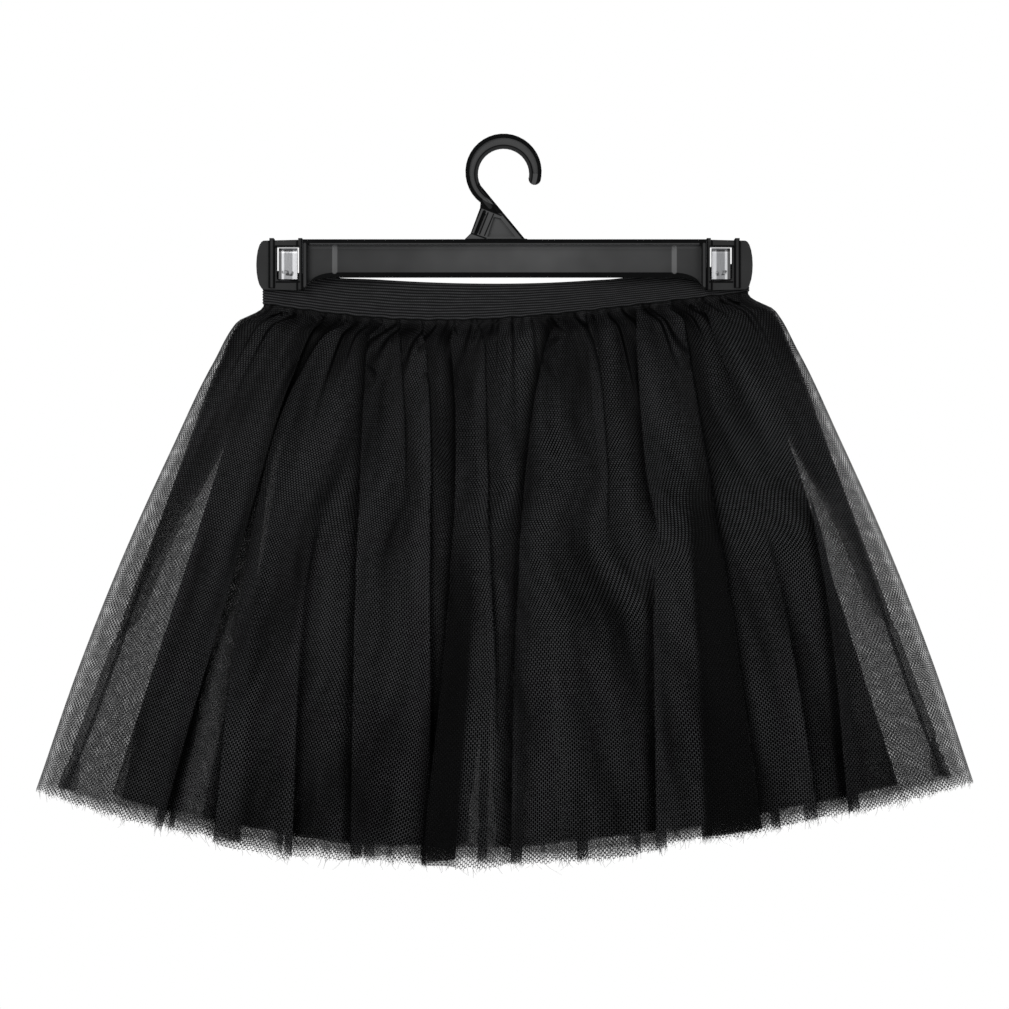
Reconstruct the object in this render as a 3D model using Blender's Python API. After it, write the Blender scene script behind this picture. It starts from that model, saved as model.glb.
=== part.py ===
"""Black tulle skirt hanging from a clip hanger.

A ribbed elastic waistband holds three gathered strips of net, each sewn into a tube: outer, middle
and inner.  The hanger's two clips grip the band's ends.  The hook's inner top is the origin, in the
hook's middle plane; the skirt's front faces -Y, and +Z is up.
"""

import math

import bmesh
import bpy
import numpy as np

MM = 0.001

# Sizes are in mm.  Places in a front view are (x, z).
PIECE_GAP = 0.3
CUT_MARGIN = 1.0
JOIN_DEPTH = 1.0

# The hanger, 305 mm wide.  Its hook is a flat C with a rim on both faces, a neck and a gusset.
HOOK_OUTER = {"centre": (-0.6, -14.4), "radius": 23.4}
HOOK_INNER = {"centre": (-0.6, -15.7), "radius": 15.7}
HOOK_TIP = {"angle": -11.5, "radius": 3.85, "blend": 4.0}
HOOK_TURN = {"outer": 233.0, "inner": 207.0}
HOOK_DEPTH = 6.0
HOOK_WEB = 2.4
HOOK_RIM = 2.0
CHANNEL_TURN = {"outer": 229.0, "inner": 209.0, "outer_tip": 8.0, "inner_tip": 12.0}
CHANNEL_FOOT = ((-3.6, -40.6), (-11.8, -36.6))
GUSSET_LEFT = ((-20.8, -52.2), (-15.0, -36.6))
GUSSET_FOOT = (-24.2, 14.0)
NECK_END = (12.3, -55.3)
GUSSET_POCKET = ((-6.6, -42.0), (-2.4, -43.0), (6.6, -54.2), (-10.6, -54.2))
SLOT_POCKET = ((-13.6, -39.8), (-11.2, -40.4), (-15.4, -52.4), (-18.2, -51.4))

BAR_TOP = -55.8
BAR_BOTTOM = -79.1
BAR_FLANGE = 3.0
BAR_END_BOTTOM = -86.4
BAR_HALF = 123.8
BAR_CURVE = 17.0
BAR_CURVE_EDGE = 1.2
BAR_FRONT = -3.6
BAR_BACK = 3.55
WEB_FRONT = 1.35
END_WEB_FRONT = 0.25
WEB_STEP = (102.2, 105.9)

# A clip's jaw: plate, window, and ribs on its outer face as x_low, x_high, z_low, z_high for +X.
JAW_OUTER = 152.4
JAW_INNER = BAR_HALF + PIECE_GAP
JAW_BOTTOM = -86.9
JAW_BULGE = {"width": 4.6, "corner": 0.6}
JAW_PLATE = 2.65
JAW_RIB = 1.5
JAW_WINDOW = {"x": (126.1, 139.9), "z": (-81.3, -60.1), "corner": 2.4}
TAB_TOP = BAR_TOP + 0.9
JAW_RIBS = (
    (141.5, 144.3, -85.2, TAB_TOP),
    (JAW_INNER, 126.6, -86.3, TAB_TOP),
    (126.0, 142.0, -60.2, -57.0),
)
SPRING_WIDTH = 11.4
SPRING_THICK = 0.7
SPRING_MID = 2.85
SPRING_ARC_Z = -64.0
SPRING_FOOT = -80.0

# The skirt hangs in a plane behind the bar, because the clips hold the band behind the bar's ends.
CLOTH_Y = 6.0
BAND_CENTRE = 0.9
BAND_HALF = 149.8
BAND_WALL = 1.5
BAND_RIB = 0.35
BAND_RIBS = 12
BAND_HALF_DEPTH = 2.15
BAND_END = 2.6
BAND_END_STEPS = 4
BAND_COLUMNS = 22
BAND_BULGE = {"height": 4.5, "centre": -13.0, "half_span": 75.0}
NET_WALL = 1.0

# The band's edges: height at the left end, rise to the right end, sag in the middle, and skew.
BAND_TOP_EDGE = {"left": -74.0, "rise": 5.0, "sag": 11.5, "skew": 0.0}
BAND_SEAM_EDGE = {"left": -94.8, "rise": 7.4, "sag": 12.5, "skew": 2.0}

# Sections of the skirt from seam to hem.  spread: how far each line of cloth has moved from its
# place at the waist to its place at the hem.  outer, middle and inner: half depth of each tube.
# flat: power of the section's curve, high where the tube is a flat slot with tight ends.
SECTION_COLUMNS = ("drop", "spread", "outer", "middle", "inner", "fold", "flat")
SECTIONS = (
    (0.000, 0.000, 6.4, 4.8, 3.2, 0.00, 30.0),
    (0.035, 0.083, 10.8, 7.4, 4.4, 0.14, 16.0),
    (0.130, 0.210, 18.2, 12.4, 7.2, 0.30, 8.0),
    (0.300, 0.390, 28.6, 19.5, 11.0, 0.52, 4.5),
    (0.500, 0.590, 39.2, 27.0, 15.5, 0.72, 3.2),
    (0.750, 0.810, 50.4, 35.5, 20.5, 0.90, 2.6),
    (1.000, 1.000, 60.0, 43.0, 26.0, 1.00, 2.2),
)

# Layers: half widths of the tube at seam and hem, the cut length from seam to hem at the middle
# and how much shorter it is at the sides, the largest fold height and overlap of its creases, and
# bow: 1 where its side edges bow out as the sections' spread says, 0 where they run straight.
LAYER_COLUMNS = ("waist_half", "hem_half", "length", "side_less", "height", "overlap", "bow")
LAYERS = {
    "tulle_outer": (151.5, 288.0, 341.0, 11.0, 9.0, 6.0, 1.0),
    "tulle_middle": (149.9, 268.5, 337.0, 9.0, 5.0, 3.0, 0.6),
    "tulle_inner": (148.3, 241.0, 328.0, 8.0, 4.0, 0.0, 0.0),
}

# Rows of SECTIONS that each layer is lofted through.
LAYER_ROWS = {
    "tulle_outer": (0, 1, 2, 3, 4, 5, 6),
    "tulle_middle": (0, 2, 3, 4, 5, 6),
    "tulle_inner": (0, 2, 3, 5, 6),
}

# Creases of the outer tube's front, left to right.  waist and hem: the crease's place across the
# skirt at the seam and at the hem.  side: +1 where the panel on its left lies over the one on its
# right, -1 where it lies under.  height: share of the layer's fold height.  hem_low: how much lower
# the panel on its right hangs.
CREASE_COLUMNS = ("waist", "hem", "side", "height", "hem_low")
FRONT_CREASES = (
    (-141.0, -262.0, 1, 0.45, 1.0),
    (-130.0, -215.0, 1, 0.80, -2.0),
    (-116.0, -186.0, -1, 0.90, 0.0),
    (-101.0, -160.0, 1, 0.70, 0.5),
    (-86.0, -121.0, -1, 0.90, 3.5),
    (-74.0, -91.0, -1, 1.00, -2.0),
    (-55.0, -66.0, 1, 0.60, 0.0),
    (-31.0, -44.0, 1, 1.00, -1.0),
    (-8.0, -20.0, 1, 0.60, -3.0),
    (17.0, 8.0, -1, 1.00, 1.5),
    (47.0, 52.0, -1, 0.35, 2.0),
    (81.0, 92.0, 1, 1.00, -3.0),
    (96.0, 119.0, -1, 0.80, -1.0),
    (109.0, 142.0, 1, 0.80, -2.5),
    (121.0, 163.0, -1, 0.90, -1.0),
    (131.0, 187.0, 1, 0.80, 2.0),
    (137.0, 214.0, -1, 0.70, -3.0),
    (143.0, 262.0, -1, 0.45, 1.0),
)
BACK_CREASES = (
    (-143.0, -264.0, -1, 0.45, 0.0),
    (-133.0, -224.0, -1, 0.85, -1.5),
    (-120.0, -190.0, 1, 0.90, 1.0),
    (-103.0, -158.0, -1, 0.75, -1.0),
    (-85.0, -120.0, 1, 1.00, 1.5),
    (-64.0, -84.0, -1, 0.80, -2.0),
    (-42.0, -56.0, -1, 0.60, 0.5),
    (-20.0, -22.0, 1, 1.00, -1.0),
    (4.0, 14.0, -1, 0.50, 2.0),
    (29.0, 47.0, 1, 0.90, -2.0),
    (52.0, 79.0, -1, 1.00, 0.0),
    (76.0, 112.0, 1, 0.70, 1.0),
    (97.0, 147.0, -1, 0.90, -1.5),
    (115.0, 181.0, 1, 0.85, 1.5),
    (130.0, 216.0, 1, 0.80, -1.0),
    (143.0, 262.0, 1, 0.45, 0.0),
)

# The hidden layers' creases: how many on each half, and the phases of the front's and the back's.
EVEN_CREASES = {"tulle_middle": (11, 0.4, 1.7), "tulle_inner": (8, 0.9, 2.3)}
# Waves that make them uneven, in radians a crease, the largest move aside, the share of the half
# width that they cover, and their middle height and its change.
CREASE_WAVES = {"place": 2.7, "side": 1.9, "height": 3.1, "hem": 4.3}
CREASE_MOVE = 0.22
CREASE_COVER = 0.94
CREASE_HEIGHT = (0.7, 0.3)

# Points beside a crease: how far away as a share of the panel's width, and the shares of the fold's
# height and of its overlap.  Between two creases a panel's middle has a share of their heights.
CREST = {"away": 0.24, "height": 1.0, "overlap": 0.15}
TURN = {"away": 0.06, "height": 0.6, "overlap": 0.5}
PANEL_MIDDLE = 0.3

# Shares of the half width with points that round the tubes' side edges.
CORNER_SHARES = (1.0, 0.997, 0.988, 0.968)
BASE_POINTS = 721

PLASTIC = ((0.012, 0.012, 0.013), 0.35, 0.0)
ELASTIC = ((0.020, 0.020, 0.021), 0.85, 0.0)
NET = ((0.012, 0.012, 0.013), 0.75, 0.0)
STEEL = ((0.72, 0.72, 0.74), 0.18, 1.0)

# A plate's turn about X, Y and Z in degrees that lays it in a plane, and the axis across the plane.
PLANES = {
    "XZ": ((90.0, 0.0, 0.0), 1),
    "XY": ((0.0, 0.0, 0.0), 2),
    "YZ": ((90.0, 0.0, 90.0), 0),
}
WELD_DISTANCE = 1e-6


def clear_scene():
    for obj in list(bpy.data.objects):
        bpy.data.objects.remove(obj, do_unlink=True)


def new_collection(name):
    collection = bpy.data.collections.new(name)
    bpy.context.scene.collection.children.link(collection)
    return collection


def new_material(name, look):
    colour, roughness, metallic = look
    material = bpy.data.materials.new(name)
    material.use_nodes = True
    shader = material.node_tree.nodes["Principled BSDF"]
    shader.inputs["Base Color"].default_value = (*colour, 1.0)
    shader.inputs["Roughness"].default_value = roughness
    shader.inputs["Metallic"].default_value = metallic
    return material


def arc(centre, radius, first, last, steps):
    """Points of an arc in a front view, angles in degrees from +X towards +Z."""
    turns = [math.radians(first + (last - first) * i / steps) for i in range(steps + 1)]
    return [(centre[0] + radius * math.cos(t), centre[1] + radius * math.sin(t)) for t in turns]


def ellipse_arc(centre, half_x, half_z, first, last, steps):
    unit = arc((0.0, 0.0), 1.0, first, last, steps)
    return [(centre[0] + half_x * x, centre[1] + half_z * z) for x, z in unit]


def mirrored(points):
    return [(-x, z) for x, z in reversed(points)]


def plate(name, outline, near, far, collection, plane="XZ"):
    """A flat outline in a plane of PLANES, thick across it from near to far, made a mesh."""
    turn, axis = PLANES[plane]
    curve = bpy.data.curves.new(name + "_outline", "CURVE")
    curve.dimensions = "2D"
    curve.fill_mode = "BOTH"
    curve.extrude = 0.5 * (far - near) * MM
    spline = curve.splines.new("POLY")
    spline.points.add(len(outline) - 1)
    spline.use_cyclic_u = True
    for point, (u, v) in zip(spline.points, outline):
        point.co = (u * MM, v * MM, 0.0, 1.0)
    flat = bpy.data.objects.new(name + "_flat", curve)
    flat.rotation_euler = [math.radians(degrees) for degrees in turn]
    flat.location[axis] = 0.5 * (near + far) * MM
    bpy.context.scene.collection.objects.link(flat)
    bpy.context.view_layer.update()
    graph = bpy.context.evaluated_depsgraph_get()
    mesh = bpy.data.meshes.new_from_object(flat.evaluated_get(graph))
    solid = bmesh.new()
    solid.from_mesh(mesh)
    bmesh.ops.remove_doubles(solid, verts=solid.verts, dist=WELD_DISTANCE)
    bmesh.ops.recalc_face_normals(solid, faces=solid.faces)
    solid.to_mesh(mesh)
    solid.free()
    obj = bpy.data.objects.new(name, mesh)
    obj.matrix_world = flat.matrix_world.copy()
    collection.objects.link(obj)
    bpy.data.objects.remove(flat, do_unlink=True)
    return obj


def box_outline(x_low, x_high, z_low, z_high):
    return [(x_low, z_low), (x_high, z_low), (x_high, z_high), (x_low, z_high)]


class Shop:
    """Makes parts in one collection and their cutters in another."""

    def __init__(self, parts, cutters):
        self.parts = parts
        self.cutters = cutters

    def part(self, name, outline, near, far, material, plane="XZ"):
        obj = plate(name, outline, near, far, self.parts, plane)
        obj.data.materials.append(material)
        return obj

    def tool(self, obj, outline, near, far, operation, plane="XZ"):
        tool = plate(f"{obj.name}_tool_{len(obj.modifiers)}", outline, near, far, self.cutters, plane)
        tool.hide_render = True
        tool.display_type = "WIRE"
        change = obj.modifiers.new(tool.name, "BOOLEAN")
        change.operation = operation
        change.object = tool

    def cut(self, obj, outline, near, far, plane="XZ"):
        self.tool(obj, outline, near, far, "DIFFERENCE", plane)

    def join(self, obj, outline, near, far):
        self.tool(obj, outline, near, far, "UNION")

    def pocket(self, obj, outline, half_depth, half_web):
        """The same recess from the front and from the back, leaving a web between them."""
        self.cut(obj, outline, -half_depth - CUT_MARGIN, -half_web)
        self.cut(obj, outline, half_web, half_depth + CUT_MARGIN)


def make_hook(shop, material):
    """The C's two arcs are off centre, so its band is thickest at the bottom left."""
    outer, inner = HOOK_OUTER, HOOK_INNER
    tip_angle, blend = HOOK_TIP["angle"], HOOK_TIP["blend"]
    middle_radius = 0.5 * (outer["radius"] + inner["radius"])
    tip = arc(outer["centre"], middle_radius, tip_angle, tip_angle, 1)[0]
    foot = BAR_TOP + PIECE_GAP
    outline = [(GUSSET_FOOT[0], foot), *GUSSET_LEFT]
    outline += arc(outer["centre"], outer["radius"], HOOK_TURN["outer"], tip_angle + blend, 26)
    outline += arc(tip, HOOK_TIP["radius"], tip_angle - 2.0 * blend, tip_angle + 2.0 * blend - 180.0, 8)
    outline += arc(inner["centre"], inner["radius"], tip_angle + blend, HOOK_TURN["inner"], 24)
    outline += [NECK_END, (GUSSET_FOOT[1], foot)]
    half_depth, half_web = 0.5 * HOOK_DEPTH, 0.5 * HOOK_WEB
    hook = shop.part("hook", outline, -half_depth, half_depth, material)

    turn = CHANNEL_TURN
    outer_edge, inner_edge = outer["radius"] - HOOK_RIM, inner["radius"] + HOOK_RIM
    channel = arc(outer["centre"], outer_edge, turn["outer"], tip_angle + turn["outer_tip"], 24)
    channel += arc(inner["centre"], inner_edge, tip_angle + turn["inner_tip"], turn["inner"], 22)
    channel += CHANNEL_FOOT
    for outline in (channel, GUSSET_POCKET, SLOT_POCKET):
        shop.pocket(hook, outline, half_depth, half_web)


def bar_outline(inset):
    """The bar's front view: flat on top, its bottom edge curving down to the clips at both ends."""
    half = BAR_HALF - inset
    bottom = BAR_BOTTOM + inset
    end_bottom = BAR_END_BOTTOM + inset
    curve_centre = (-half + BAR_CURVE_EDGE + BAR_CURVE, end_bottom)
    curve = ellipse_arc(curve_centre, BAR_CURVE, bottom - end_bottom, 180.0, 90.0, 8)
    left = [(-half, BAR_TOP - inset), (-half, end_bottom)] + curve
    return left + mirrored(left)


def make_bar(shop, material):
    """A channel open to the front, its floor deeper between two sloping steps near the ends."""
    bar = shop.part("hanger_bar", bar_outline(0.0), BAR_FRONT, BAR_BACK, material)
    shop.cut(bar, bar_outline(BAR_FLANGE), BAR_FRONT - CUT_MARGIN, END_WEB_FRONT)
    inner, outer = WEB_STEP
    start = END_WEB_FRONT - PIECE_GAP
    floor = [(-outer, start), (outer, start), (inner, WEB_FRONT), (-inner, WEB_FRONT)]
    shop.cut(bar, floor, BAR_BOTTOM + BAR_FLANGE, BAR_TOP - BAR_FLANGE, "XY")


def jaw_outline(sign):
    """The clip's plate: a bulging outer end, a straight inner end and a flat foot."""
    bulge = JAW_BULGE["width"]
    middle = 0.5 * (BAR_TOP + JAW_BOTTOM)
    half = 0.5 * (BAR_TOP - JAW_BOTTOM) - JAW_BULGE["corner"]
    end = ellipse_arc((-JAW_OUTER + bulge, middle), bulge, half, 90.0, 270.0, 10)
    left = [(-JAW_INNER, BAR_TOP)] + end + [(-JAW_INNER, JAW_BOTTOM)]
    return left if sign < 0 else mirrored(left)


def window_outline(sign):
    low_x, high_x = JAW_WINDOW["x"]
    low_z, high_z = JAW_WINDOW["z"]
    corner = JAW_WINDOW["corner"]
    foot = arc((-high_x + corner, low_z + corner), corner, 180.0, 270.0, 4)
    foot += arc((-low_x - corner, low_z + corner), corner, 270.0, 360.0, 4)
    left = [(-high_x, high_z)] + foot + [(-low_x, high_z)]
    return left if sign < 0 else mirrored(left)


def make_jaw(shop, name, sign, facing, material):
    """One jaw of a clip: sign is its side of the hanger, facing is -1 in front and +1 behind."""
    inner_face = BAR_BACK if facing < 0 else 2.0 * CLOTH_Y - BAR_BACK
    outer_face = inner_face + facing * JAW_PLATE
    near, far = sorted((inner_face, outer_face))
    jaw = shop.part(name, jaw_outline(sign), near, far, material)
    rib_near, rib_far = sorted((outer_face - facing * JOIN_DEPTH, outer_face + facing * JAW_RIB))
    for x_low, x_high, z_low, z_high in JAW_RIBS:
        left, right = sorted((sign * x_low, sign * x_high))
        shop.join(jaw, box_outline(left, right, z_low, z_high), rib_near, rib_far)
    clear = JAW_RIB + CUT_MARGIN
    shop.cut(jaw, window_outline(sign), near - clear, far + clear)


def make_spring(shop, name, sign, material):
    """A steel strip bent over the band's top edge, its two legs in the jaws' windows."""
    half_thick = 0.5 * SPRING_THICK

    def profile(radius):
        bend = arc((CLOTH_Y, SPRING_ARC_Z), radius, 0.0, 180.0, 12)
        return [(CLOTH_Y + radius, SPRING_FOOT)] + bend + [(CLOTH_Y - radius, SPRING_FOOT)]

    outline = profile(SPRING_MID + half_thick) + profile(SPRING_MID - half_thick)[::-1]
    centre = sign * 0.5 * sum(JAW_WINDOW["x"])
    half_width = 0.5 * SPRING_WIDTH
    shop.part(name, outline, centre - half_width, centre + half_width, material, "YZ")


def loft_tube(name, outer_rings, inner_rings, material, collection):
    """A tube's wall: faces from ring to ring down its outside, over its hem and up its inside.
    outer_rings and inner_rings are (rows, columns, 3) in mm."""
    rows, columns = outer_rings.shape[:2]
    loop = np.concatenate([outer_rings, inner_rings[::-1]])
    total = len(loop)
    solid = bmesh.new()
    points = [[solid.verts.new(point * MM) for point in ring] for ring in loop]
    for row in range(total):
        below = (row + 1) % total
        for column in range(columns):
            right = (column + 1) % columns
            a, b, c, d = points[row][column], points[below][column], points[below][right], points[row][right]
            # Both faces of the wall are split along the same diagonal, so that they stay side by side.
            pair = ((a, b, c), (a, c, d)) if row < rows else ((b, c, d), (b, d, a))
            for corners in pair:
                solid.faces.new(corners)
    bmesh.ops.recalc_face_normals(solid, faces=solid.faces)
    mesh = bpy.data.meshes.new(name)
    solid.to_mesh(mesh)
    solid.free()
    mesh.shade_smooth()
    mesh.materials.append(material)
    obj = bpy.data.objects.new(name, mesh)
    collection.objects.link(obj)
    return obj


def across(x):
    """0 at the band's left end and 1 at its right end."""
    return np.clip((np.asarray(x) - BAND_CENTRE + BAND_HALF) / (2.0 * BAND_HALF), 0.0, 1.0)


def band_edge(x, edge):
    """An edge of the band: it sags between the clips, and skew sinks its left half and lifts its right."""
    t = across(x)
    sag = edge["sag"] * np.sin(np.pi * t) + edge["skew"] * np.sin(2.0 * np.pi * t)
    return edge["left"] + edge["rise"] * t - sag


def band_half_depth(x):
    """Pinched flat at the clips, a little open in the middle."""
    reach = np.clip(np.abs(x - BAND_BULGE["centre"]) / BAND_BULGE["half_span"], 0.0, 1.0)
    return BAND_HALF_DEPTH + BAND_BULGE["height"] * np.cos(0.5 * np.pi * reach) ** 2


def band_ring(inset, drop):
    """One ring round the band, inset from its ribs' crests; drop is 0 at its top and 1 at the seam."""
    straight = BAND_HALF - BAND_END
    x_front = np.linspace(-straight, straight, BAND_COLUMNS)
    turn = np.linspace(-0.5 * np.pi, 0.5 * np.pi, BAND_END_STEPS + 2)[1:-1]
    front_y = -(band_half_depth(x_front + BAND_CENTRE) - inset)
    end_y = (BAND_HALF_DEPTH - inset) * np.sin(turn)
    end_x = straight + (BAND_END - inset) * np.cos(turn)
    x = np.concatenate([x_front, end_x, x_front[::-1], -end_x]) + BAND_CENTRE
    y = np.concatenate([front_y, end_y, -front_y[::-1], -end_y]) + CLOTH_Y
    top, seam = band_edge(x, BAND_TOP_EDGE), band_edge(x, BAND_SEAM_EDGE)
    return np.stack([x, y, top + drop * (seam - top)], axis=1)


def make_band(shop, material):
    """A loop of elastic with ribs along it, raised on its outside only."""
    steps = 2 * BAND_RIBS
    outer = [band_ring(BAND_RIB * (1 - step % 2), step / steps) for step in range(steps + 1)]
    inner = [band_ring(BAND_RIB + BAND_WALL, drop) for drop in (0.0, 1.0)]
    loft_tube("waistband", np.array(outer), np.array(inner), material, shop.parts)


def column(table, names, name):
    return np.array([row[names.index(name)] for row in table], dtype=float)


def even_creases(count, sizes, phase):
    """Evenly spread creases for half a tube, made uneven by sine waves so that no two match."""
    rows = []
    for i in range(count):
        move = CREASE_MOVE * math.sin(CREASE_WAVES["place"] * i + phase) / count
        share = (2.0 * (i + 0.5) / count - 1.0) * CREASE_COVER + move
        side = 1 if math.sin(CREASE_WAVES["side"] * i + phase) > 0.0 else -1
        wave = math.sin(CREASE_WAVES["height"] * i + 2.0 * phase)
        height = CREASE_HEIGHT[0] + CREASE_HEIGHT[1] * wave
        low = math.sin(CREASE_WAVES["hem"] * i)
        rows.append((share * sizes["waist_half"], share * sizes["hem_half"], side, height, low))
    return rows


def half_controls(creases, sizes):
    """Points of half a section, left corner to right, each with its place at the waist and at the
    hem, share of the fold's height, share of the overlap, and how much lower its hem hangs."""
    waist, hem, side, height, low = (column(creases, CREASE_COLUMNS, name) for name in CREASE_COLUMNS)
    waist_edges = np.concatenate([[-sizes["waist_half"]], waist, [sizes["waist_half"]]])
    hem_edges = np.concatenate([[-sizes["hem_half"]], hem, [sizes["hem_half"]]])
    edges = np.stack([waist_edges, hem_edges], axis=1)
    panel_low = np.concatenate([[0.0], low])
    rise = side * height
    points = []
    for i, here in enumerate(edges[1:-1]):
        for shape, way in ((CREST, -1), (TURN, -1), (TURN, 1), (CREST, 1)):
            panel = here - edges[i] if way < 0 else edges[i + 2] - here
            place = here + way * shape["away"] * panel
            overlap = -way * shape["overlap"] * height[i] ** 2
            lowered = panel_low[i] if way < 0 else panel_low[i + 1]
            points.append((*place, -way * shape["height"] * rise[i], overlap, lowered))
        if i + 1 < len(creases):
            middle = 0.5 * (here + edges[i + 2])
            points.append((*middle, PANEL_MIDDLE * (rise[i + 1] - rise[i]), 0.0, panel_low[i + 1]))
    corner = np.zeros((len(CORNER_SHARES), 5))
    corner[:, :2] = -np.outer(CORNER_SHARES, (sizes["waist_half"], sizes["hem_half"]))
    return np.concatenate([corner, points, -corner[::-1]])


def base_curve(half_width, half_depth, flat, facing):
    """Half a section without folds: depth = half_depth * sqrt(1 - |x / half_width| ** flat).
    Gives the length along it, its points and its outward normals."""
    turn = np.linspace(-0.5 * np.pi, 0.5 * np.pi, BASE_POINTS)
    x = half_width * np.sign(np.sin(turn)) * np.abs(np.sin(turn)) ** (2.0 / flat)
    y = facing * half_depth * np.cos(turn)
    run = np.concatenate([[0.0], np.cumsum(np.hypot(np.diff(x), np.diff(y)))])
    slope_x, slope_y = np.gradient(x, turn), np.gradient(y, turn)
    size = np.hypot(slope_x, slope_y)
    return run, x, y, -facing * slope_y / size, facing * slope_x / size


def section(layer, row, halves):
    """One outer ring of a tulle tube at a row of SECTIONS, as (columns, 3) points in mm."""
    values = dict(zip(SECTION_COLUMNS, SECTIONS[row]))
    sizes = dict(zip(LAYER_COLUMNS, LAYERS[layer]))
    depth_name = layer.split("_")[1]
    half_depth = values[depth_name]
    seam_depth = column(SECTIONS, SECTION_COLUMNS, depth_name)[0]
    drop, fold = values["drop"], values["fold"]
    spread = drop + sizes["bow"] * (values["spread"] - drop)
    half_width = sizes["waist_half"] + (sizes["hem_half"] - sizes["waist_half"]) * spread
    sides = []
    for points, facing in zip(halves, (-1.0, 1.0)):
        waist, hem, rise, overlap, low = points.T
        curve = base_curve(half_width, half_depth, values["flat"], facing)
        run, base_x = curve[:2]
        place = np.interp(waist + (hem - waist) * spread, base_x, run)
        place = np.clip(place + overlap * sizes["overlap"] * fold, 0.0, run[-1])
        x, y, normal_x, normal_y = (np.interp(place, run, line) for line in curve[1:])
        lift = rise * sizes["height"] * fold
        lean = waist / sizes["waist_half"]
        length = drop * (sizes["length"] - sizes["side_less"] * lean**2)
        out = (half_depth - seam_depth) * np.sqrt(1.0 - lean**2)
        # The cloth's length runs down, sideways and outward; what is left for down is its fall.
        fall = np.sqrt(length**2 - (drop * (hem - waist)) ** 2 - out**2) + low * drop**2
        z = band_edge(waist + BAND_CENTRE, BAND_SEAM_EDGE) - PIECE_GAP - fall
        x = x + lift * normal_x + BAND_CENTRE * (1.0 - spread)
        sides.append(np.stack([x, y + lift * normal_y + CLOTH_Y, z], axis=1))
    front, back = sides
    return np.concatenate([front, back[-2:0:-1]])


def make_layer(shop, layer, creases, material):
    sizes = dict(zip(LAYER_COLUMNS, LAYERS[layer]))
    halves = [half_controls(half, sizes) for half in creases]
    rings = np.array([section(layer, row, halves) for row in LAYER_ROWS[layer]])
    # Directions are averaged over three points, so that the inner face keeps its order in a tight turn.
    along = np.roll(rings, -1, axis=1) - np.roll(rings, 1, axis=1)
    along = along + 0.5 * (np.roll(along, 1, axis=1) + np.roll(along, -1, axis=1))
    along = along[:, :, :2] / np.linalg.norm(along[:, :, :2], axis=2)[:, :, None]
    inward = np.stack([-along[:, :, 1], along[:, :, 0], np.zeros(along.shape[:2])], axis=2)
    loft_tube(layer, rings, rings + inward * NET_WALL, material, shop.parts)


def layer_creases(layer):
    """The creases of a layer's front and back."""
    if layer not in EVEN_CREASES:
        return FRONT_CREASES, BACK_CREASES
    count, *phases = EVEN_CREASES[layer]
    sizes = dict(zip(LAYER_COLUMNS, LAYERS[layer]))
    return [even_creases(count, sizes, phase) for phase in phases]


def main():
    clear_scene()
    shop = Shop(new_collection("tulle_skirt_on_hanger"), new_collection("cutters"))
    plastic = new_material("hanger_plastic", PLASTIC)
    elastic = new_material("waist_elastic", ELASTIC)
    net = new_material("tulle_net", NET)
    steel = new_material("clip_steel", STEEL)

    make_hook(shop, plastic)
    make_bar(shop, plastic)
    for hand, sign in (("left", -1), ("right", 1)):
        make_jaw(shop, f"jaw_front_{hand}", sign, -1, plastic)
        make_jaw(shop, f"jaw_back_{hand}", sign, 1, plastic)
        make_spring(shop, f"clip_spring_{hand}", sign, steel)
    make_band(shop, elastic)
    for layer in LAYERS:
        make_layer(shop, layer, layer_creases(layer), net)


main()
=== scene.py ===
import math

import bpy
import numpy as np
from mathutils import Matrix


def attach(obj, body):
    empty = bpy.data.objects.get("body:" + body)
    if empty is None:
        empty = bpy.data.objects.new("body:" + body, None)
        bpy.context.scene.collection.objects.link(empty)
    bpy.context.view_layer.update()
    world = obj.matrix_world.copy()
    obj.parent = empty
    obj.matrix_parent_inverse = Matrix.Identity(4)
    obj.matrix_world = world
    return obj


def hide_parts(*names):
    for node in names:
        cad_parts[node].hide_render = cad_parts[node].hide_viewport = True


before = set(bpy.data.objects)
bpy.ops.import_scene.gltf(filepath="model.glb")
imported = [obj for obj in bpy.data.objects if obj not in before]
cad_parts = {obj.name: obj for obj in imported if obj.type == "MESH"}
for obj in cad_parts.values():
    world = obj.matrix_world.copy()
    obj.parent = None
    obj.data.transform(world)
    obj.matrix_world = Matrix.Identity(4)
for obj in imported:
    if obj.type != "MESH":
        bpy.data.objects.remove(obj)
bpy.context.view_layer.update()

# Sizes are in mm.  Places in a front view are (x, z).  The skirt's front faces -Y.
MM = 0.001
PIECE_GAP = 0.3

# The skirt hangs in a plane behind the hanger's bar.
CLOTH_Y = 6.0

# The band is a flat loop of ribbed elastic that sags between the clips and bulges a little in the
# middle.  Dips in its top edge: place, depth and reach.  Its ribs waver by waves (height, reach,
# slip from the top to the bottom), and its sewn edge puckers.
BAND_CENTRE = 0.9
BAND_HALF = 149.8
BAND_HEIGHT = 20.7
BAND_WALL = 1.5
BAND_RIB = 0.42
BAND_RIBS = 13
BAND_HALF_DEPTH = 2.15
BAND_END = 2.6
BAND_BULGE = {"height": 4.5, "centre": -13.0, "half_span": 75.0}
BAND_TOP_EDGE = {"left": -74.0, "rise": 5.0, "sag": 11.4, "skew": -0.35}
BAND_SEAM_EDGE = {"left": -94.8, "rise": 7.4, "sag": 12.5, "skew": 2.0}
BAND_DIPS = ((-101.0, 0.85, 14.0), (66.0, 0.35, 9.0))
BAND_WAVER = ((0.12, 5.1, 9.0), (0.10, 12.7, -5.0))
BAND_PUCKER = {"height": 0.35, "short": 2.3, "long": 7.9, "from": 0.8}
RIB_STEPS = 8
TICK_LENGTH = 1.3

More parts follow.
